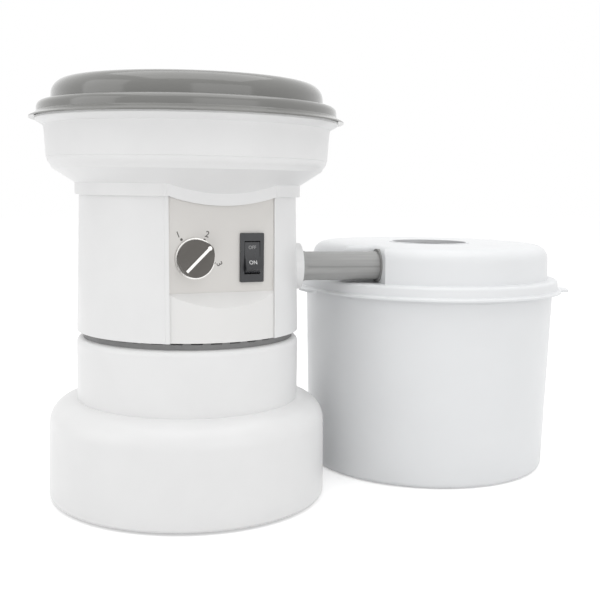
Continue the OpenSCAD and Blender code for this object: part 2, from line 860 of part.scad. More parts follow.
module knob_trim() {
    color([0.85, 0.84, 0.82]) on_panel(-knob_x, control_z, panel_d + knob_gap) rotate([0, 0, pointer_turn]) {
        ring(knob_r + knob_ring_t, knob_r - knob_ring_t - 0.25, 0, knob_ring_h);
        translate([0, 0, knob_h - inlay_h]) linear_extrude(inlay_h + 0.2) pointer_plan(0.05);
    }
}

// ---------- hopper ----------

function hopper_outer() = concat(
    [[throat_r, throat_low], [throat_r, funnel_z(throat_r)], [under_in_r, funnel_z(under_in_r)],
     [under_in_r, under_z(under_in_r)], [collar_r, collar_top]],
    [[bowl_low_r - 4.2, collar_top + bowl_slant_h - 0.6]],
    arc([bowl_low_r - 0.4 - bend_r, bend_z], bend_r, -50, 0, 6),
    [[bowl_low_r - 0.4, bend_z + 0.1], [bowl_low_r, bend_z + 0.3], [bowl_top_r, rim_top - 8],
     [bowl_top_r + 0.5, rim_top - 6], [rim_r - 1.2, rim_top - 3.4], [rim_r, rim_top - 2],
     [rim_r, rim_top - 0.6], [rim_r - 0.6, rim_top]]
);

function hopper_inner() = concat(
    [[bowl_top_r - bowl_t, rim_top], [bowl_low_r - bowl_t, bend_z + 0.3]],
    arc([bowl_low_r - bowl_t - bend_in_r, bend_z], bend_in_r, 0, -50, 5),
    [[collar_r - 1.6, collar_top + bowl_t - 0.4],
     [throat_r - throat_t, funnel_z(throat_r) + bowl_t + 0.5], [throat_r - throat_t, throat_low]]
);

module apron() {
    // lower edge: a wide arc, lowest in the middle
    low = body_top - apron_drop;
    limit_r = panel_d - 8;
    intersection() {
        box([-panel_half - 3, -apron_front, low - 1],
            [panel_half + 3, -apron_front + apron_t, collar_top + 2]);
        translate([0, 0, low + apron_arc_r]) rotate([90, 0, 0])
            cylinder(h = bell_r, r = apron_arc_r, $fn = 360);
        // nothing above the middle of the funnel's wall
        turned([
            [panel_half, low - 2],
            [collar_r - 0.4, low - 2],
            [collar_r - 0.4, under_z(collar_r - 0.4) + 0.3],
            [under_in_r, under_z(under_in_r) + 0.6],
            [limit_r, funnel_z(limit_r) + bowl_t / 2],
            [panel_half, funnel_z(limit_r) + bowl_t / 2]
        ]);
    }
}

module hopper() {
    collar_in_r = body_top_r - wall;
    post_low = deck_top;
    color([0.93, 0.93, 0.94]) difference() {
        union() {
            turned(concat(hopper_outer(), hopper_inner()));
            difference() {
                turned([
                    [collar_in_r, body_top],
                    [collar_r - 0.4, body_top],
                    [collar_r, body_top + 0.4],
                    [collar_r, collar_top + 0.5],
                    [collar_r - 0.8, collar_top + 1.4],
                    [collar_in_r, funnel_z(collar_in_r) + bowl_t / 2]
                ]);
                box([-collar_r, -bell_r, body_top - 1],
                    [collar_r, -apron_front + apron_t / 2, collar_top + 2]);
            }
            apron();
            around(post_angles, post_pcd_r)
                disc(post_r, post_low, funnel_z(post_pcd_r) + bowl_t / 2);
        }
        around(post_angles, post_pcd_r) disc(screw_r + screw_fit, post_low - 1, post_low + 14);
    }
}

module hopper_screws() {
    color([0.7, 0.7, 0.72]) around(post_angles, post_pcd_r) screw(screw_r, deck_low, deck_top + 12);
}

module hopper_lid() {
    step_z = rim_top + 10.4;
    step_r = rim_r - 1.4;
    top_z = rim_top + dome_h;
    dome_round = 11;
    crown_r = dome_r - 0.2 - dome_round;
    dome_side_z = top_z - 1.4 - dome_round;
    plug_r = bowl_top_r - bowl_t - slide_fit - 0.5;
    color([0.62, 0.62, 0.60]) union() {
        turned(concat(
            [[plug_r - 2, rim_top], [rim_r, rim_top], [lid_edge_r, rim_top - 1.2],
             [lid_edge_r, rim_top - 0.2], [step_r + 1, rim_top + 2.2], [step_r, rim_top + 3.2]],
            arc([step_r - 4.4, step_z - 4.4], 4.4, 0, 90, 6),
            [[dome_r, step_z + 0.3]],
            arc([crown_r, dome_side_z], dome_round, 0, 78, 9),
            [[dome_r * 0.62, top_z - 0.5], [dome_r * 0.3, top_z - 0.1], [0, top_z]],
            [[0, top_z - dome_t], [dome_r * 0.3, top_z - dome_t - 0.1],
             [dome_r * 0.62, top_z - dome_t - 0.5]],
            arc([crown_r, dome_side_z], dome_round - dome_t, 78, 0, 9),
            [[dome_r - dome_t, step_z + 0.3 - dome_t], [step_r - 4.4, step_z - dome_t],
             [step_r - 3, rim_top + dome_t], [plug_r - 2, rim_top + dome_t]]
        ));
        // plug that centres the lid in the bowl
        ring(plug_r, plug_r - 2, rim_top - 6, rim_top + eps);
    }
}

// ---------- feed sleeve ----------

module rack_outline() {
    // the pitch line is x = 0 and the teeth point to +X
    pitch = PI * gear_module;
    slope = tan(pressure_angle);
    half = pitch / 4 - backlash / 2;
    count = ceil((feed_up + feed_down) / pitch) + 4;
    first = -floor(count / 2);
    polygon(concat(
        [[-rack_t, (first - 0.5) * pitch]],
        [[-dedendum, (first - 0.5) * pitch]],
        [for (i = [first:first + count - 1]) each [
            [-dedendum, i * pitch - half - dedendum * slope],
            [addendum, i * pitch - half + addendum * slope],
            [addendum, i * pitch + half - addendum * slope],
            [-dedendum, i * pitch + half + dedendum * slope]
        ]],
        [[-dedendum, (first + count - 0.5) * pitch], [-rack_t, (first + count - 0.5) * pitch]]
    ));
}

module feed_sleeve() {
    rack_mid = [rack_x - rack_t / 2 - dedendum, gear_y];
    arm_turn = atan2(rack_mid[1], rack_mid[0]);
    bar_in = dedendum + 0.2;
    color([0.82, 0.82, 0.84]) {
        turned([
            [sleeve_r - sleeve_t, sleeve_top],
            [sleeve_r - sleeve_t, sleeve_low + sleeve_floor_t],
            [feed_r - 2, sleeve_low + sleeve_floor_t],
            [feed_r - 2, feed_tube_low],
            [feed_r, feed_tube_low],
            [feed_r, sleeve_low],
            [sleeve_r - 1, sleeve_low],
            [sleeve_r, sleeve_low + 1],
            [sleeve_r, sleeve_top]
        ]);
        rotate([0, 0, arm_turn])
            box([sleeve_r - sleeve_t / 2, -arm_w / 2, sleeve_top - arm_t],
                [norm(rack_mid), arm_w / 2, sleeve_top]);
        box([rack_x - rack_t, gear_y - gear_t / 2, rack_low],
            [rack_x - bar_in, gear_y + gear_t / 2, sleeve_top]);
        // the tooth on the spindle's level lies between two pinion teeth
        translate([rack_x, gear_y + gear_t / 2, control_z])
            rotate([90, 0, 0]) linear_extrude(gear_t) rack_outline();
    }
}

// ---------- milling chamber ----------

// One head: a plate with rings of fins, fins towards +Z from z = 0
module fin_rings(radii) {
    linear_extrude(fin_h) for (r = radii) difference() {
        circle(r + fin_t / 2);
        circle(r - fin_t / 2);
        count = round(2 * PI * r / (2.6 * slot_w));
        for (i = [0:count - 1]) rotate(360 * i / count) translate([r - fin_t, -slot_w / 2])
            square([2 * fin_t, slot_w]);
    }
}

// The chamber's outline with its screw lugs
module lugged_plan() {
    difference() {
        union() {
            circle(chamber_r);
            for (a = lug_angles) rotate(a) translate([lug_pcd_r, 0]) circle(lug_r);
        }
        for (a = lug_angles) rotate(a) translate([lug_pcd_r, 0]) circle(screw_r + screw_fit);
    }
}

module milling_chamber() {
    color([0.78, 0.79, 0.8]) difference() {
        union() {
            translate([0, 0, deck_top]) linear_extrude(chamber_h) lugged_plan();
            on_outlet(chamber_r - 8) cylinder(h = port_d - chamber_r + 8, r = spout_r);
        }
        disc(chamber_r - chamber_t, chamber_floor, chamber_top + 1);
        disc(shaft_r + 1, deck_top - 1, chamber_top);
        on_outlet(chamber_r - 14) cylinder(h = port_d - chamber_r + 20, r = bore_r);
        ring(seal_r + 0.7, seal_r - 0.7, chamber_top - seal_groove, chamber_top + 1);
    }
}

module chamber_seal() {
    color([0.2, 0.2, 0.22]) ring(seal_r + 0.6, seal_r - 0.6, chamber_top - seal_groove, chamber_top);
}

module chamber_cover() {
    color([0.78, 0.79, 0.8]) difference() {
        translate([0, 0, chamber_top]) linear_extrude(cover_t) lugged_plan();
        disc(feed_r + slide_fit, chamber_top - 1, cover_top + 1);
    }
}

module chamber_screws() {
    color([0.7, 0.7, 0.72]) around(lug_angles, lug_pcd_r)
        screw(screw_r, deck_low - 4, cover_top, head_low = false);
}

module stator_head() {
    color([0.66, 0.67, 0.69]) {
        ring(chamber_r - chamber_t - 0.4, feed_r + slide_fit + 1, stator_fin_top, chamber_top);
        translate([0, 0, stator_fin_top - fin_h]) fin_rings(stator_rings);
    }
}

module rotor_head() {
    color([0.66, 0.67, 0.69]) {
        difference() {
            union() {
                disc(head_r, rotor_z, rotor_fin_z);
                disc(hub_r, rotor_z, nut_z);
            }
            disc(shaft_r + run_fit, rotor_z - 1, nut_z + 1);
        }
        translate([0, 0, rotor_fin_z]) fin_rings(rotor_rings);
    }
}

module head_nut() {
    color([0.75, 0.75, 0.77]) difference() {
        translate([0, 0, nut_z]) cylinder(h = nut_h, r = nut_r, $fn = 6);
        disc(shaft_r - 1 + run_fit, nut_z - 1, nut_z + nut_h + 1);
    }
}

module outlet_port() {
    start = port_d - port_out - wall - 4;
    seat_gap = 0.05;
    color([0.9, 0.9, 0.91]) difference() {
        on_outlet(start) cylinder(h = port_d - start, r = port_r);
        body_solid(-seat_gap);
        on_outlet(0) cylinder(h = port_d + 5, r = spout_r + screw_fit);
        on_outlet(port_d - gasket_t + gasket_proud) cylinder(h = 5, r = spout_r + port_seat + 0.1);
    }
}

module port_gasket() {
    color([0.3, 0.3, 0.31]) on_outlet(port_d - gasket_t + gasket_proud) difference() {
        cylinder(h = gasket_t, r = spout_r + port_seat);
        translate([0, 0, -1]) cylinder(h = gasket_t + 2, r = spout_r + 0.1);
    }
}

// ---------- motor ----------

module upper_motor_frame() {
    hub = bearing_r + 4;
    hole_r = 6;
    color([0.72, 0.73, 0.75]) difference() {
        union() {
            disc(stator_r, upper_frame_low, upper_frame_low + upper_frame_t);
            disc(hub, upper_frame_low, upper_bearing_z + bearing_h + 0.5);
            for (a = [0, 90, 180, 270]) rotate([0, 0, a])
                box([bolt_pcd_r - bolt_post_r, -mount_ear_r, upper_frame_low],
                    [mount_pcd_r, mount_ear_r, upper_frame_low + upper_frame_t]);
            around([0, 90, 180, 270], mount_pcd_r)
                disc(mount_ear_r, upper_frame_low, upper_frame_low + upper_frame_t);
            around(bolt_angles, bolt_pcd_r) disc(bolt_post_r, stator_top, upper_frame_low + eps);
        }
        disc(bearing_r + run_fit, upper_bearing_z, upper_bearing_z + bearing_h + 2);
        disc(shaft_r + 2, upper_frame_low - 1, upper_bearing_z + 1);
        around([0, 90, 180, 270], mount_pcd_r)
            disc(mount_screw_r + screw_fit, upper_frame_low - 1, upper_frame_low + upper_frame_t + 1);
        around(bolt_angles, bolt_pcd_r) disc(screw_r + screw_fit, stator_top - 1, upper_frame_low - 1);
        // air passages round the hub
        for (a = [22.5:45:360]) rotate([0, 0, a]) translate([(hub + bolt_pcd_r - bolt_post_r) / 2, 0, 0])
            disc(hole_r, upper_frame_low - 1, upper_frame_low + upper_frame_t + 1);
    }
}

module motor_isolators() {
    color([0.18, 0.18, 0.19]) around([0, 90, 180, 270], mount_pcd_r)
        ring(isolator_r, mount_screw_r + screw_fit, upper_frame_low + upper_frame_t, deck_low);
}

module motor_mount_screws() {
    color([0.7, 0.7, 0.72]) around([0, 90, 180, 270], mount_pcd_r)
        screw(mount_screw_r, upper_frame_low, deck_top);
}

// A sector of a ring, from -half to +half degrees about +X
module sector(r_out, r_in, half, z0, z1) {
    far = 2 * r_out;
    translate([0, 0, z0]) linear_extrude(z1 - z0) intersection() {
        difference() {
            circle(r_out);
            circle(r_in);
        }
        polygon(concat([[0, 0]], [for (i = [-2:2]) far * [cos(i * half / 2), sin(i * half / 2)]]));
    }
}

module stator_stack() {
    color([0.45, 0.46, 0.48]) difference() {
        union() {
            ring(stator_r, stator_r - yoke_t, stator_low, stator_top);
            for (a = [0, 180]) rotate([0, 0, a]) {
                sector(stator_r - yoke_t + 1, shoe_in_r + 1, neck_angle, stator_low, stator_top);
                sector(shoe_in_r + shoe_t, shoe_in_r, pole_angle + 12, stator_low, stator_top);
            }
        }
        around(bolt_angles, bolt_pcd_r) disc(screw_r + screw_fit, stator_low - 1, stator_top + 1);
    }
}

module field_coils() {
    r_in = shoe_in_r + shoe_t + coil_gap;
    r_out = stator_r - yoke_t - coil_gap;
    color([0.72, 0.42, 0.2]) for (a = [0, 180]) rotate([0, 0, a]) difference() {
        sector(r_out, r_in, pole_angle + 12, stator_low - coil_over, stator_top + coil_over);
        sector(r_out + 1, r_in - 1, neck_angle + 1, stator_low - coil_gap, stator_top + coil_gap);
    }
}

module lower_motor_frame() {
    rim_in_r = bolt_pcd_r - bolt_post_r;
    floor_t = 3.5;
    window_half = 14;
    window_rim = 6;
    color([0.72, 0.73, 0.75]) difference() {
        union() {
            ring(stator_r, rim_in_r, lower_frame_low, stator_low);
            disc(stator_r, lower_frame_low, lower_frame_low + floor_t);
            disc(small_bearing_r + 4, lower_frame_low, lower_bearing_z + small_bearing_h);
        }
        disc(small_bearing_r + run_fit, lower_bearing_z, lower_bearing_z + small_bearing_h + 1);
        around(bolt_angles, bolt_pcd_r) disc(screw_r + screw_fit, lower_frame_low - 1, stator_low + 1);
        // windows for the brush holders
        for (a = [90, 270]) rotate([0, 0, a])
            box([20, -brush_w / 2 - holder_t - 0.1, brush_z - brush_h / 2 - holder_t - 0.1],
                [stator_r + 2, brush_w / 2 + holder_t + 0.1, brush_z + brush_h / 2 + holder_t + 0.1]);
        // air windows
        for (a = [0, 180]) rotate([0, 0, a])
            box([small_bearing_r + 8, -window_half, lower_frame_low + window_rim],
                [stator_r + 2, window_half, stator_low - window_rim]);
    }
}

module motor_bolts() {
    color([0.7, 0.7, 0.72]) around(bolt_angles, bolt_pcd_r)
        screw(screw_r, lower_frame_low, upper_frame_low - 2);
}

// A ball bearing as one piece: two races and the shield between them
module bearing(r_out, r_in, h) {
    race = (r_out - r_in) * 0.28;
    difference() {
        ring(r_out, r_in, 0, h);
        ring(r_out - race, r_in + race, -1, 0.8);
        ring(r_out - race, r_in + race, h - 0.8, h + 1);
    }
}

module upper_bearing() {
    color([0.6, 0.61, 0.63]) translate([0, 0, upper_bearing_z])
        bearing(bearing_r, shaft_r + run_fit, bearing_h);
}

module lower_bearing() {
    color([0.6, 0.61, 0.63]) translate([0, 0, lower_bearing_z])
        bearing(small_bearing_r, shaft_r + run_fit, small_bearing_h);
}

module brush_holders() {
    outer = [brush_w / 2 + holder_t, brush_h / 2 + holder_t];
    color([0.8, 0.68, 0.35]) for (a = [90, 270]) rotate([0, 0, a]) difference() {
        box([commutator_r + 3, -outer[0], brush_z - outer[1]], [stator_r + 3, outer[0], brush_z + outer[1]]);
        box([commutator_r + 2, -brush_w / 2, brush_z - brush_h / 2],
            [stator_r + 1.5, brush_w / 2, brush_z + brush_h / 2]);
    }
}

module carbon_brushes() {
    color([0.15, 0.15, 0.16]) for (a = [90, 270]) rotate([0, 0, a])
        box([commutator_r + 0.4, -brush_w / 2 + 0.1, brush_z - brush_h / 2 + 0.1],
            [commutator_r + brush_len, brush_w / 2 - 0.1, brush_z + brush_h / 2 - 0.1]);
}

module motor_shaft() {
    color([0.75, 0.76, 0.78]) {
        disc(shaft_r, shaft_low, nut_z);
        disc(shaft_r - 1, nut_z - eps, nut_z + nut_h - 0.5);
    }
}

module armature() {
    slot_depth = 5;
    winding_r = armature_r - slot_depth - 1;
    winding_over = 10;
    color([0.5, 0.36, 0.25]) difference() {
        union() {
            armature_iron(slot_depth);
            disc(winding_r, commutator_z + commutator_h, stator_low - 2);
            disc(winding_r, stator_top + 2, stator_top + winding_over);
        }
        disc(shaft_r + run_fit, commutator_z, stator_top + winding_over + 1);
    }
}

// The armature's iron, with a slot for each coil
module armature_iron(slot_depth) {
    slots = 16;
    slot_width = 2;
    translate([0, 0, stator_low - 2]) linear_extrude(stator_h + 4) difference() {
        circle(armature_r);
        for (i = [0:slots - 1]) rotate(360 * i / slots) translate([armature_r - slot_depth, -slot_width / 2])
            square([slot_depth + 1, slot_width]);
    }
}

module commutator() {
    bars = 32;
    groove = 0.5;
    color([0.75, 0.45, 0.25]) difference() {
        disc(commutator_r, commutator_z, commutator_z + commutator_h);
        disc(shaft_r + run_fit, commutator_z - 1, commutator_z + commutator_h + 1);
        for (i = [0:bars - 1]) rotate([0, 0, 360 * i / bars])
            box([commutator_r - 0.8, -groove / 2, commutator_z - 1],
                [commutator_r + 1, groove / 2, commutator_z + commutator_h - 2]);
    }
}

module cooling_fan() {
    blade_t = 1.6;
    color([0.3, 0.3, 0.32]) difference() {
        union() {
            disc(fan_r, fan_z, fan_z + 1.6);
            disc(shaft_r + 4, fan_z, fan_z + fan_h);
            for (i = [0:fan_blades - 1]) rotate([0, 0, 360 * i / fan_blades])
                box([shaft_r + 3, -blade_t / 2, fan_z + 1], [fan_r - 0.6, blade_t / 2, fan_z + fan_h]);
        }
        disc(shaft_r + run_fit, fan_z - 1, fan_z + fan_h + 1);
    }
}

// ---------- canister ----------

module canister() {
    color([0.92, 0.93, 0.95]) at_canister() turned(concat(
        [[0, 0], [can_low_r - can_round, 0]],
        arc([can_low_r - can_round, can_round], can_round, -90, 0, 6),
        [[can_top_r, can_h - bead_h - 2], [bead_r, can_h - bead_h], [bead_r, can_h - 0.6],
         [bead_r - 0.6, can_h], [can_top_r - can_t, can_h], [can_top_r - can_t, can_h - bead_h]],
        arc([can_low_r - can_t - can_round, can_floor_t + can_round], can_round, 0, -90, 5),
        [[0, can_floor_t]]
    ));
}

// Plan of the notch that the flour tube runs into: the corner at [-notch_end, -notch_back], grown by grow
module notch_plan(grow) {
    far = 2 * lid_dome_r;
    round_r = notch_corner_r + grow;
    x = -notch_end + grow;
    y = -notch_back + grow;
    difference() {
        translate([x - far, y - far]) square([far, far]);
        difference() {
            translate([x - round_r, y - round_r]) square([round_r + 1, round_r + 1]);
            translate([x - round_r, y - round_r]) circle(round_r);
        }
    }
}

module notch_cut(grow) {
    translate([0, 0, notch_floor - grow]) linear_extrude(2 * (lid_top - notch_floor)) notch_plan(grow);
}

// Rounds the dome's top edge along the notch: what lies outside a quarter circle,
// swept along the notch's walls
module notch_rounding() {
    far = 2 * lid_dome_r;
    r = lid_round * 0.5;
    z = lid_top - r;
    // along the back wall
    difference() {
        box([-notch_end - far, -notch_back - 1, z],
            [-notch_end - notch_corner_r, -notch_back + r, lid_top + 1]);
        translate([-notch_end - far - 1, -notch_back + r, z]) rotate([0, 90, 0]) cylinder(h = far + 2, r = r);
    }
    // along the end wall
    difference() {
        box([-notch_end - 1, -notch_back - far, z],
            [-notch_end + r, -notch_back - notch_corner_r, lid_top + 1]);
        translate([-notch_end + r, -notch_back - far - 1, z]) rotate([-90, 0, 0])
            cylinder(h = far + 2, r = r);
    }
    // round the corner
    translate([-notch_end - notch_corner_r, -notch_back - notch_corner_r, z])
        rotate_extrude(angle = 90) translate([notch_corner_r - 1, 0]) difference() {
            square([r + 1, r + 1]);
            translate([r + 1, 0]) circle(r);
        }
}

module lid_outside() {
    ledge_round = 2.4;
    turned(concat(
        [[0, lid_low], [lid_flange_r, lid_low], [lid_flange_r, lid_low + 1.4],
         [lid_flange_r - 0.6, lid_low + 2], [lid_ring_r + 0.4, lid_low + 2.4], [lid_ring_r, lid_low + 3]],
        arc([lid_ring_r - 0.2 - ledge_round, ledge_z - ledge_round], ledge_round, 0, 90, 5),
        [[lid_dome_r + 0.4, ledge_z], [lid_dome_r, ledge_z + 0.6]],
        arc([lid_dome_r - 0.6 - lid_round, lid_top - lid_round], lid_round, 0, 90, 9),
        [[0, lid_top]]
    ));
}

module lid_inside() {
    inner_round = lid_round - lid_t;
    seat_r = bead_r + slide_fit + 0.1;
    turned(concat(
        [[0, lid_low - 1], [seat_r, lid_low - 1], [seat_r, can_h + gasket_h],
         [lid_dome_r - lid_t, can_h + gasket_h]],
        arc([lid_dome_r - 0.6 - lid_round, lid_top - lid_round], inner_round, 0, 90, 7),
        [[0, lid_top - lid_t]]
    ));
}

// A thin lip on the lid's edge to pull it off by
module pull_tab(a) {
    corner = 5;
    over = corner + 1;
    end_x = lid_flange_r + tab_reach;
    rotate([0, 0, a]) difference() {
        box([lid_ring_r - 0.6, -tab_w / 2, lid_low], [end_x, tab_w / 2, lid_low + tab_t]);
        for (side = [-1, 1]) translate([end_x - corner, side * (tab_w / 2 - corner), 0]) difference() {
            translate([0, side > 0 ? 0 : -over, lid_low - 1]) cube([over, over, tab_t + 2]);
            disc(corner, lid_low - 2, lid_low + tab_t + 2);
        }
    }
}

module canister_lid() {
    well_low = lid_top - filter_depth;
    spigot_r = cup_r - cup_t - slide_fit;
    color([0.92, 0.93, 0.95]) at_canister() difference() {
        union() {
            difference() {
                lid_outside();
                difference() {
                    lid_inside();
                    notch_cut(lid_t);
                    disc(filter_r + well_t, well_low, lid_top);
                    ring(spigot_r, spigot_r - 2.2, outlet_z + bore_r + 0.2, lid_top);
                }
            }
            for (a = tab_angles) pull_tab(a);
            // slight raised rim round the filter's well
            ring(filter_r + 2.6, filter_r, lid_top - 1, lid_top + 0.5);
        }
        notch_cut(0);
        notch_rounding();
        disc(filter_r, well_low - 1, lid_top + 2);
        translate([-notch_end - 6, -can_back, outlet_z]) rotate([0, 90, 0])
            cylinder(h = lid_t + 7, r = grommet_r);
    }
}

module lid_gasket() {
    color([0.55, 0.56, 0.57]) at_canister()
        ring(bead_r, can_top_r - can_t, can_h, can_h + gasket_h);
}

module flour_tube() {
    end_d = can_reach - notch_end + lid_t + 3;
    seam = 0.35;
    color([0.6, 0.6, 0.6]) difference() {
        union() {
            on_outlet(tube_start) cylinder(h = end_d - tube_start, r = tube_r);
            on_outlet(tube_start) cylinder(h = flare_len, r1 = flare_r, r2 = tube_r);
        }
        on_outlet(tube_start - 1) cylinder(h = end_d - tube_start + 2, r = bore_r);
        // mould seam along both sides
        rotate([0, 0, outlet_turn]) for (side = [-1, 1])
            translate([tube_start + flare_len, side * (tube_r + 0.5 - seam), outlet_z])
                box([0, -0.5, -0.4], [end_d, 0.5, 0.4]);
    }
}

module tube_grommet() {
    grommet_len = grommet_flange + lid_t;
    color([0.35, 0.35, 0.36]) at_canister()
        translate([-notch_end - grommet_flange, -can_back, outlet_z]) rotate([0, 90, 0]) difference() {
            cylinder(h = grommet_len, r = grommet_r - 0.05);
            translate([0, 0, -1]) cylinder(h = grommet_len + 2, r = tube_r + 0.05);
        }
}

module inlet_duct() {
    start_x = -notch_end + lid_t + 0.1;
    color([0.85, 0.86, 0.87]) at_canister() difference() {
        translate([start_x, -can_back, outlet_z]) rotate([0, 90, 0]) cylinder(h = notch_end, r = duct_r);
        translate([start_x - 1, -can_back, outlet_z]) rotate([0, 90, 0]) {
            cylinder(h = notch_end + 2, r = bore_r);
            cylinder(h = 4.5, r = tube_r + 0.1);
        }
        disc(cup_r + slide_fit, 0, lid_top);
        disc(lid_dome_r * 2, lid_top - lid_t, lid_top + 20);
    }
}

module filter_grid() {
    grid_t = 2;
    bar = 1.6;
    pitch = 7;
    z = lid_top - filter_depth;
    color([0.88, 0.89, 0.9]) at_canister() translate([0, 0, z]) linear_extrude(grid_t) {
        difference() {
            circle(filter_r - 0.1);
            circle(filter_r - 3);
        }
        intersection() {
            circle(filter_r - 2);
            for (i = [-3:3]) {
                translate([i * pitch - bar / 2, -filter_r]) square([bar, 2 * filter_r]);
                translate([-filter_r, i * pitch - bar / 2]) square([2 * filter_r, bar]);
            }
        }
    }
}

module foam_filter() {
    z = lid_top - filter_depth + 2;
    color([0.2, 0.2, 0.2]) at_canister() disc(filter_r - slide_fit - 0.1, z, lid_top - 2.5);
}

module cyclone_cup() {
    color([0.85, 0.86, 0.87]) at_canister() difference() {
        turned([
            [cup_r, cup_top],
            [cup_r, cup_low + cup_slant_h],
            [cup_mouth_r + cup_t, cup_low],
            [cup_mouth_r, cup_low],
            [cup_mouth_r, cup_low + cup_t],
            [cup_r - cup_t, cup_low + cup_slant_h + cup_t],
            [cup_r - cup_t, cup_top]
        ]);
        // the flour and air come in along the wall
        translate([-notch_end, -can_back, outlet_z]) rotate([0, 90, 0]) cylinder(h = notch_end, r = bore_r);
    }
}

bell_base();
base_plate();
rubber_feet();
base_screws();
cord_gland();
ring_housing();
vent_ring();
main_housing();
housing_screws();
control_panel();
switch_body();
switch_terminals();
switch_rocker();
spindle_bushing();
knob_spindle();
texture_knob();
knob_trim();
hopper();
hopper_screws();
hopper_lid();
feed_sleeve();
milling_chamber();
stator_head();
chamber_cover();
chamber_seal();
chamber_screws();
rotor_head();
head_nut();
outlet_port();
port_gasket();
upper_motor_frame();
motor_isolators();
motor_mount_screws();
stator_stack();
field_coils();
lower_motor_frame();
motor_bolts();
upper_bearing();
lower_bearing();
brush_holders();
carbon_brushes();
motor_shaft();
armature();
commutator();
cooling_fan();
canister();
canister_lid();
lid_gasket();
flour_tube();
tube_grommet();
inlet_duct();
filter_grid();
foam_filter();
cyclone_cup();
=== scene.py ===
import math

import bmesh
import bpy
from mathutils import Matrix, Vector


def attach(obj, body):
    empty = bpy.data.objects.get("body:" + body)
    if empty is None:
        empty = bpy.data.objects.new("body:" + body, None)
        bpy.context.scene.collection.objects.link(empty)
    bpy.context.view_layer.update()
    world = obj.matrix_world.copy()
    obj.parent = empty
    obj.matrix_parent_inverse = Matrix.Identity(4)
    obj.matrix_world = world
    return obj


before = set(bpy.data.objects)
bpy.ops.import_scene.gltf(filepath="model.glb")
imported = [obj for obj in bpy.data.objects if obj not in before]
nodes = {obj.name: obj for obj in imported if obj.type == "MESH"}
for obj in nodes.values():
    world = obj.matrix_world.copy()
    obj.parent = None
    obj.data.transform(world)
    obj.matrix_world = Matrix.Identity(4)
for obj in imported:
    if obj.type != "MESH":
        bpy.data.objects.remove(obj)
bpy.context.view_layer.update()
scene = bpy.context.scene
collection = scene.collection


# ---------- camera ----------

# Fitted to the photo's round outlines: the front turns away to the left, and the lens looks slightly down
camera_spot = Vector((-0.2308, -0.6664, 0.2278))
look_turn = 64.14  # degrees from +X towards +Y
look_down = 6.70
camera_roll = 0.87
sensor_mm = 36
lens_mm = 56.8
nearest_seen = 0.01
farthest_seen = 20


def make_camera():
    turn = math.radians(look_turn)
    down = math.radians(look_down)
    roll = math.radians(camera_roll)
    ahead = Vector((math.cos(turn) * math.cos(down), math.sin(turn) * math.cos(down), -math.sin(down)))
    level = ahead.cross(Vector((0, 0, 1))).normalized()
    upright = level.cross(ahead)
    right = level * math.cos(roll) + upright * math.sin(roll)
    up = right.cross(ahead)
    data = bpy.data.cameras.new("photo_camera")
    data.sensor_width = sensor_mm
    data.lens = lens_mm
    data.clip_start = nearest_seen
    data.clip_end = farthest_seen
    camera = bpy.data.objects.new("photo_camera", data)
    pose = Matrix((right, up, -ahead)).transposed().to_4x4()
    pose.translation = camera_spot
    camera.matrix_world = pose
    collection.objects.link(camera)
    scene.camera = camera


make_camera()


# ---------- smooth surfaces ----------

crease_degrees = 28
weld_distance = 1e-6


def smooth(node):
    """Joins the solid's facets into smooth faces with creases where it has real edges."""
    for face in node.data.polygons:
        face.use_smooth = True
    weld = node.modifiers.new("weld", "WELD")
    weld.merge_threshold = weld_distance
    split = node.modifiers.new("creases", "EDGE_SPLIT")
    split.split_angle = math.radians(crease_degrees)


for part in nodes.values():
    smooth(part)


# ---------- material building ----------

# Noise rarely leaves this range, so it is what spread() stretches out
noise_low = 0.3
noise_high = 0.7


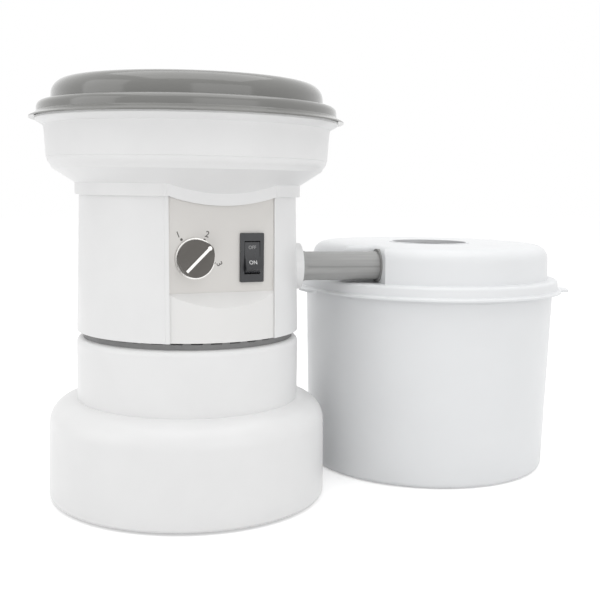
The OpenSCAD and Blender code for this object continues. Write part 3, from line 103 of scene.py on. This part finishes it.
class Shader:
    """A small helper that adds and links the nodes of one material."""

    def __init__(self, name):
        self.material = bpy.data.materials.new(name)
        self.material.use_nodes = True
        self.tree = self.material.node_tree
        self.tree.nodes.clear()
        output = self.add("ShaderNodeOutputMaterial")
        self.surface = self.add("ShaderNodeBsdfPrincipled")
        self.link(self.surface.outputs[0], output.inputs["Surface"])
        self.place = self.add("ShaderNodeTexCoord").outputs["Object"]

    def add(self, kind, **settings):
        node = self.tree.nodes.new(kind)
        for key, value in settings.items():
            setattr(node, key, value)
        return node

    def link(self, source, target):
        self.tree.links.new(source, target)

    def noise(self, size, detail=3.0, roughness=0.5, stretch=(1, 1, 1), turn=0.0):
        """Cloudy noise whose features are about size metres across, turned about Z by turn degrees."""
        mapping = self.add("ShaderNodeMapping", vector_type="TEXTURE")
        mapping.inputs["Rotation"].default_value = (0, 0, math.radians(turn))
        mapping.inputs["Scale"].default_value = [size / s for s in stretch]
        self.link(self.place, mapping.inputs["Vector"])
        node = self.add("ShaderNodeTexNoise")
        node.inputs["Scale"].default_value = 1.0
        node.inputs["Detail"].default_value = detail
        node.inputs["Roughness"].default_value = roughness
        self.link(mapping.outputs[0], node.inputs["Vector"])
        return node.outputs["Fac"]

    def cells(self, size):
        """Round cells about size metres across: the distance to the nearest centre."""
        mapping = self.add("ShaderNodeMapping")
        mapping.inputs["Scale"].default_value = [1 / size] * 3
        self.link(self.place, mapping.inputs["Vector"])
        node = self.add("ShaderNodeTexVoronoi")
        node.inputs["Scale"].default_value = 1.0
        self.link(mapping.outputs[0], node.inputs["Vector"])
        return node.outputs["Distance"]

    def ramp(self, source, stops):
        """Maps source through colour stops [(place, colour), ...]."""
        node = self.add("ShaderNodeValToRGB")
        elements = node.color_ramp.elements
        while len(elements) < len(stops):
            elements.new(0.5)
        for element, (place, colour) in zip(elements, stops):
            element.position = place
            element.color = (*colour, 1)
        self.link(source, node.inputs["Fac"])
        return node.outputs["Color"]

    def remap(self, source, source_low, source_high, low=0.0, high=1.0):
        """Maps source from source_low..source_high to low..high."""
        node = self.add("ShaderNodeMapRange")
        node.inputs["From Min"].default_value = source_low
        node.inputs["From Max"].default_value = source_high
        node.inputs["To Min"].default_value = low
        node.inputs["To Max"].default_value = high
        self.link(source, node.inputs["Value"])
        return node.outputs["Result"]

    def spread(self, noise, low, high):
        return self.remap(noise, noise_low, noise_high, low, high)

    def bump(self, source, depth, strength=1.0, below=None):
        node = self.add("ShaderNodeBump")
        node.inputs["Strength"].default_value = strength
        node.inputs["Distance"].default_value = depth
        self.link(source, node.inputs["Height"])
        if below is not None:
            self.link(below, node.inputs["Normal"])
        return node.outputs["Normal"]

    def colour(self, source):
        self.link(source, self.surface.inputs["Base Color"])

    def roughness(self, source):
        self.link(source, self.surface.inputs["Roughness"])

    def normal(self, source):
        self.link(source, self.surface.inputs["Normal"])

    def set(self, **values):
        for key, value in values.items():
            self.surface.inputs[key.replace("_", " ")].default_value = value


def shade(colour, amount):
    return tuple(max(0.0, min(1.0, c * amount)) for c in colour)


def moulded(
    name, colour, rough=0.35, grain=0.0012, grain_depth=0.000012,
    cloud=0.03, variation=0.010, coat=0.0, stretch=(1, 1, 1), turn=0.0,
):
    """Moulded plastic's uneven gloss and fine skin. Returns the shader, and its clouded colour unlinked."""
    s = Shader(name)
    clouds = s.noise(cloud, 4.0, stretch=stretch, turn=turn)
    tint = s.ramp(clouds, [(0.35, shade(colour, 1 - variation)), (0.65, shade(colour, 1 + variation))])
    gloss = s.noise(cloud * 0.4, 5.0)
    s.roughness(s.spread(gloss, rough * 0.88, rough * 1.14))
    s.normal(s.bump(s.noise(grain, 2.0), grain_depth))
    s.set(IOR=1.5, Coat_Weight=coat, Coat_Roughness=0.08)
    return s, tint


def plastic(name, colour, **look):
    """Moulded plastic of one colour."""
    s, tint = moulded(name, colour, **look)
    s.colour(tint)
    return s.material


def panel_plastic(name, shaded_field, apron, shelf_top, **look):
    """Moulded plastic in two whites: above the shelf's upper edge the recessed face's darker, warmer white,
    which is partly a warmer tone and partly painted shade under the hopper; below that edge the apron's.
    """
    s, tint = moulded(name, shaded_field, **look)
    height = s.add("ShaderNodeSeparateXYZ")
    s.link(s.place, height.inputs[0])
    blend_height = 0.0006
    mix = s.add("ShaderNodeMix", data_type="RGBA")
    s.link(s.remap(height.outputs["Z"], shelf_top - blend_height, shelf_top), mix.inputs["Factor"])
    mix.inputs["A"].default_value = (*apron, 1)
    s.link(tint, mix.inputs["B"])
    s.colour(mix.outputs["Result"])
    return s.material


def metal(name, colour, rough=0.3, stretch=(1, 1, 0.05), grain=0.0008):
    """Bare metal with fine turning or grinding marks."""
    s = Shader(name)
    marks = s.noise(grain, 3.0, stretch=stretch)
    s.colour(s.ramp(marks, [(0.3, shade(colour, 0.82)), (0.7, shade(colour, 1.1))]))
    s.roughness(s.spread(marks, rough * 0.75, rough * 1.3))
    s.normal(s.bump(marks, 0.00002))
    s.set(Metallic=1.0)
    return s.material


def rubber(name, colour, rough=0.75):
    """Soft rubber: dull, with a fine speckle."""
    s = Shader(name)
    speckle = s.noise(0.0009, 4.0, 0.7)
    s.colour(s.ramp(speckle, [(0.3, shade(colour, 0.75)), (0.7, shade(colour, 1.25))]))
    s.roughness(s.spread(s.noise(0.01), rough * 0.9, min(1, rough * 1.15)))
    s.normal(s.bump(speckle, 0.00006))
    return s.material


def foam(name, colour):
    """Open foam with no shine: each cell is painted darker towards its middle as shade in the hole, and
    lighter towards the strands around it.
    """
    s = Shader(name)
    # Painted shade: the cells' middles are darkened for the shade inside the foam's holes.
    pore_shade = s.cells(0.0013)
    s.colour(s.ramp(pore_shade, [(0.15, shade(colour, 0.25)), (0.45, colour), (0.8, shade(colour, 1.9))]))
    s.normal(s.bump(pore_shade, 0.0007, 0.9, s.bump(s.noise(0.006), 0.0006)))
    s.set(Roughness=0.95, Specular_IOR_Level=0.0)
    return s.material


# ---------- finishes ----------

mill_white = plastic("mill_white", (0.80, 0.80, 0.80), rough=0.33)
canister_white = plastic("canister_white", (0.79, 0.80, 0.81), rough=0.36, cloud=0.045)
# Painted shade: the recessed face above the shelf is darker than the apron below it, for the shade under the
# hopper, on top of a warmer tone.
panel_white_and_shade = panel_plastic(
    "panel_white_and_shade", shaded_field=(0.69, 0.672, 0.648), apron=(0.79, 0.785, 0.775), shelf_top=0.1576,
    rough=0.34, cloud=0.08, variation=0.012,
)
inner_white = plastic("inner_white", (0.72, 0.73, 0.74), rough=0.4)
lid_grey = plastic("lid_grey", (0.185, 0.185, 0.176), rough=0.15, grain=0.0016, coat=0.5, variation=0.02)
tube_grey = plastic(
    "tube_grey", (0.34, 0.34, 0.335), rough=0.36, grain=0.0007, grain_depth=0.00003,
    cloud=0.0035, variation=0.09, stretch=(0.05, 1, 1), turn=-12,
)
# Painted shade: the vent ring is coloured dark grey for the shade in its groove under the main housing.
vent_painted_shade = plastic("vent_painted_shade", (0.20, 0.20, 0.20), rough=0.5, variation=0.06)
knob_grey = plastic(
    "knob_grey", (0.105, 0.097, 0.088), rough=0.5, grain=0.0005, grain_depth=0.00004, variation=0.06,
)
trim_light = metal("trim_light", (0.80, 0.79, 0.77), 0.3)
switch_black = plastic(
    "switch_black", (0.030, 0.031, 0.034), rough=0.28, grain=0.0006, grain_depth=0.00002, variation=0.15,
)
fan_black = plastic("fan_black", (0.03, 0.03, 0.032), rough=0.5, variation=0.2)
acetal = plastic("acetal", (0.62, 0.62, 0.60), rough=0.42)
steel = metal("steel", (0.62, 0.63, 0.64), 0.28)
hard_steel = metal("hard_steel", (0.50, 0.51, 0.53), 0.35)
cast_metal = metal("cast_metal", (0.60, 0.61, 0.63), 0.5, stretch=(1, 1, 1), grain=0.0015)
iron = metal("iron", (0.28, 0.29, 0.31), 0.45, stretch=(0.1, 0.1, 4), grain=0.001)
copper = metal("copper", (0.72, 0.36, 0.20), 0.35, stretch=(1, 1, 1), grain=0.0008)
brass = metal("brass", (0.72, 0.56, 0.27), 0.32)
carbon = rubber("carbon", (0.03, 0.03, 0.03), 0.7)
black_rubber = rubber("black_rubber", (0.025, 0.025, 0.027))
grey_rubber = rubber("grey_rubber", (0.10, 0.10, 0.10))
pale_rubber = rubber("pale_rubber", (0.35, 0.36, 0.37))
tube_rubber = rubber("tube_rubber", (0.27, 0.27, 0.265), 0.6)
filter_foam = foam("filter_foam", (0.020, 0.020, 0.020))

FINISHES = {
    "bell_base": mill_white,
    "base_plate": inner_white,
    "rubber_feet": black_rubber,
    "base_screws": steel,
    "cord_gland": black_rubber,
    "ring_housing": mill_white,
    "vent_ring": vent_painted_shade,
    "main_housing": mill_white,
    "housing_screws": steel,
    "control_panel": panel_white_and_shade,
    "switch_body": switch_black,
    "switch_terminals": brass,
    "switch_rocker": switch_black,
    "spindle_bushing": brass,
    "knob_spindle": acetal,
    "texture_knob": knob_grey,
    "knob_trim": trim_light,
    "hopper": mill_white,
    "hopper_screws": steel,
    "hopper_lid": lid_grey,
    "feed_sleeve": acetal,
    "milling_chamber": cast_metal,
    "stator_head": hard_steel,
    "chamber_cover": cast_metal,
    "chamber_seal": grey_rubber,
    "chamber_screws": steel,
    "rotor_head": hard_steel,
    "head_nut": steel,
    "outlet_port": mill_white,
    "port_gasket": grey_rubber,
    "upper_motor_frame": cast_metal,
    "motor_isolators": black_rubber,
    "motor_mount_screws": steel,
    "stator_stack": iron,
    "field_coils": copper,
    "lower_motor_frame": cast_metal,
    "motor_bolts": steel,
    "upper_bearing": steel,
    "lower_bearing": steel,
    "brush_holders": brass,
    "carbon_brushes": carbon,
    "motor_shaft": steel,
    "armature": iron,
    "commutator": copper,
    "cooling_fan": fan_black,
    "canister": canister_white,
    "canister_lid": canister_white,
    "lid_gasket": pale_rubber,
    "flour_tube": tube_grey,
    "tube_grommet": tube_rubber,
    "inlet_duct": inner_white,
    "filter_grid": inner_white,
    "foam_filter": filter_foam,
    "cyclone_cup": inner_white,
}

for name, part in nodes.items():
    if not part.material_slots:
        part.data.materials.append(FINISHES[name])
    for slot in part.material_slots:
        slot.material = FINISHES[name]


# ---------- small print ----------

print_grey = plastic("print_grey", (0.10, 0.095, 0.09), rough=0.5, variation=0.1)
print_pale = plastic("print_pale", (0.30, 0.30, 0.30), rough=0.5, variation=0.1)
print_white = plastic("print_white", (0.72, 0.72, 0.72), rough=0.5, variation=0.04)
print_lift = 0.00006

# A letter's height and its outline's extra weight, as parts of the font's size and of the letter's height
font_size_per_height = 1.4
weight_per_height = 0.012

knob_centre = Vector((-0.0198, 0, 0.1806))
panel_y = -0.0692
# Direction of each mark from the knob in degrees, and how far out its dot and its number lie
dial_marks = [("1", 126, 0.0157, 0.0196), ("2", 61, 0.0141, 0.0182), ("3", -13, 0.0143, 0.0180)]
dial_dot_r = 0.0009
dial_dot_sides = 24
dial_number_h = 0.0042
# The share of a mark's direction that its number turns with, so that it still reads upright
dial_number_turn = 0.6


def lettering(text, height):
    """The text's flat outline as a bmesh in the XY plane, centred, height metres tall."""
    curve = bpy.data.curves.new("lettering", "FONT")
    curve.body = text
    curve.align_x = "CENTER"
    curve.align_y = "CENTER"
    curve.size = height * font_size_per_height
    curve.offset = height * weight_per_height
    holder = bpy.data.objects.new("lettering", curve)
    collection.objects.link(holder)
    bpy.context.view_layer.update()
    mesh = bpy.data.meshes.new_from_object(holder.evaluated_get(bpy.context.evaluated_depsgraph_get()))
    bpy.data.objects.remove(holder)
    shape = bmesh.new()
    shape.from_mesh(mesh)
    bpy.data.meshes.remove(mesh)
    return shape


def add_piece(name, shape, material, body):
    mesh = bpy.data.meshes.new(name)
    shape.to_mesh(mesh)
    shape.free()
    mesh.materials.append(material)
    piece = bpy.data.objects.new(name, mesh)
    collection.objects.link(piece)
    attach(piece, body)


def merge(target, extra, place):
    """Adds the bmesh extra to target, moved by the matrix place."""
    mesh = bpy.data.meshes.new("part")
    bmesh.ops.transform(extra, matrix=place, verts=extra.verts)
    extra.to_mesh(mesh)
    extra.free()
    target.from_mesh(mesh)
    bpy.data.meshes.remove(mesh)


def facing(centre, turn=0.0, lean=0.0):
    """Places a flat shape drawn in XY at centre, facing -Y, turned in its plane and leaning back."""
    upright = Matrix.Rotation(math.radians(90), 4, "X")
    leaning = Matrix.Rotation(math.radians(lean), 4, "X")
    return Matrix.Translation(centre) @ leaning @ upright @ Matrix.Rotation(math.radians(turn), 4, "Z")


def dial_print():
    shape = bmesh.new()
    ground = knob_centre + Vector((0, panel_y - print_lift, 0))
    for text, angle, dot_out, number_out in dial_marks:
        way = Vector((math.cos(math.radians(angle)), 0, math.sin(math.radians(angle))))
        dot = bmesh.new()
        bmesh.ops.create_circle(dot, cap_ends=True, radius=dial_dot_r, segments=dial_dot_sides)
        merge(shape, dot, facing(ground + way * dot_out))
        turn = (angle - 90) * dial_number_turn
        merge(shape, lettering(text, dial_number_h), facing(ground + way * number_out, turn))
    add_piece("dial_print", shape, print_grey, "mill")


dial_print()

# The rocker's front faces, from the mould: their middle stands this far from the pivot, and each leans back
rocker_pivot = Vector((0.0212, -0.0652, 0.1806))
rocker_middle = 0.0058
rocker_face_lean = 9.37
rocker_rest_turn = 12
# Each word on the rocker: its piece, height, place above the middle (negative is below) and finish
rocker_words = [
    ("OFF", "rocker_print_off", 0.0023, 0.0056, print_pale),
    ("ON", "rocker_print_on", 0.0027, -0.0048, print_white),
]


def on_rocker(up):
    """Places a shape on the rocker's front face, up metres above its middle."""
    side = 1 if up > 0 else -1
    out = rocker_middle + abs(up) * math.tan(math.radians(rocker_face_lean)) + print_lift
    tipping = Matrix.Rotation(math.radians(-rocker_rest_turn), 4, "X")
    spot = tipping @ Vector((0, -out, up))
    return facing(rocker_pivot + spot, lean=side * rocker_face_lean - rocker_rest_turn)


def rocker_print():
    for text, name, height, up, finish in rocker_words:
        shape = bmesh.new()
        merge(shape, lettering(text, height), on_rocker(up))
        add_piece(name, shape, finish, "rocker")


rocker_print()


# ---------- floor, backdrop and light ----------

floor_drop = 0.0003
floor_half = 6.0
floor_colour = (0.80, 0.80, 0.80)
# Added to the lit floor where it is seen, which takes it to white outside the object's shadow
floor_lift = 0.42

# Strength of the white world as light. Where it is seen, it has strength 1.
world_light = 0.74

# Name, place, target, width, height and watts of each soft lamp
lamps = [
    ("left", (-2.1, 0.1, 0.9), (0.0, 0, 0.14), 1.6, 1.6, 7),
    ("top", (0.05, -0.2, 1.9), (0.1, 0, 0.1), 2.2, 2.2, 17),
    ("front", (0.3, -2.0, 0.5), (0.15, 0, 0.12), 1.8, 1.2, 5),
]


def maths(tree, operation, *values):
    """Adds a Math node over the values, which are sockets or plain numbers."""
    node = tree.nodes.new("ShaderNodeMath")
    node.operation = operation
    for place, value in enumerate(values):
        if isinstance(value, (int, float)):
            node.inputs[place].default_value = value
        else:
            tree.links.new(value, node.inputs[place])
    return node.outputs[0]


def seen(tree):
    """1 for the rays that show the backdrop: the camera's, and those mirrored or sent through a surface."""
    path = tree.nodes.new("ShaderNodeLightPath")
    mirrored = maths(tree, "MAXIMUM", path.outputs["Is Camera Ray"], path.outputs["Is Glossy Ray"])
    return maths(tree, "MAXIMUM", mirrored, path.outputs["Is Transmission Ray"])


def make_floor():
    shape = bmesh.new()
    bmesh.ops.create_grid(shape, x_segments=2, y_segments=2, size=floor_half)
    mesh = bpy.data.meshes.new("floor")
    shape.to_mesh(mesh)
    shape.free()
    floor = bpy.data.objects.new("floor", mesh)
    floor.location.z = -floor_drop
    collection.objects.link(floor)
    material = bpy.data.materials.new("floor")
    material.use_nodes = True
    tree = material.node_tree
    tree.nodes.clear()
    output = tree.nodes.new("ShaderNodeOutputMaterial")
    diffuse = tree.nodes.new("ShaderNodeBsdfDiffuse")
    diffuse.inputs["Color"].default_value = (*floor_colour, 1)
    glow = tree.nodes.new("ShaderNodeEmission")
    tree.links.new(maths(tree, "MULTIPLY", seen(tree), floor_lift), glow.inputs["Strength"])
    both = tree.nodes.new("ShaderNodeAddShader")
    tree.links.new(diffuse.outputs[0], both.inputs[0])
    tree.links.new(glow.outputs[0], both.inputs[1])
    tree.links.new(both.outputs[0], output.inputs["Surface"])
    mesh.materials.append(material)


def make_world():
    """A world that shows as white behind the object and in its surfaces, and lights it at its own strength."""
    world = bpy.data.worlds.new("studio")
    scene.world = world
    world.use_nodes = True
    tree = world.node_tree
    tree.nodes.clear()
    output = tree.nodes.new("ShaderNodeOutputWorld")
    background = tree.nodes.new("ShaderNodeBackground")
    background.inputs["Color"].default_value = (1, 1, 1, 1)
    level = maths(tree, "MULTIPLY_ADD", seen(tree), 1 - world_light, world_light)
    tree.links.new(level, background.inputs["Strength"])
    tree.links.new(background.outputs[0], output.inputs["Surface"])


def make_lamp(name, spot, target, width, height, watts):
    data = bpy.data.lights.new(name, "AREA")
    data.shape = "RECTANGLE"
    data.size = width
    data.size_y = height
    data.energy = watts
    lamp = bpy.data.objects.new(name, data)
    lamp.location = spot
    lamp.rotation_euler = (Vector(target) - Vector(spot)).to_track_quat("-Z", "Y").to_euler()
    collection.objects.link(lamp)


make_floor()
make_world()
for lamp in lamps:
    make_lamp(*lamp)

scene.view_settings.view_transform = "Standard"
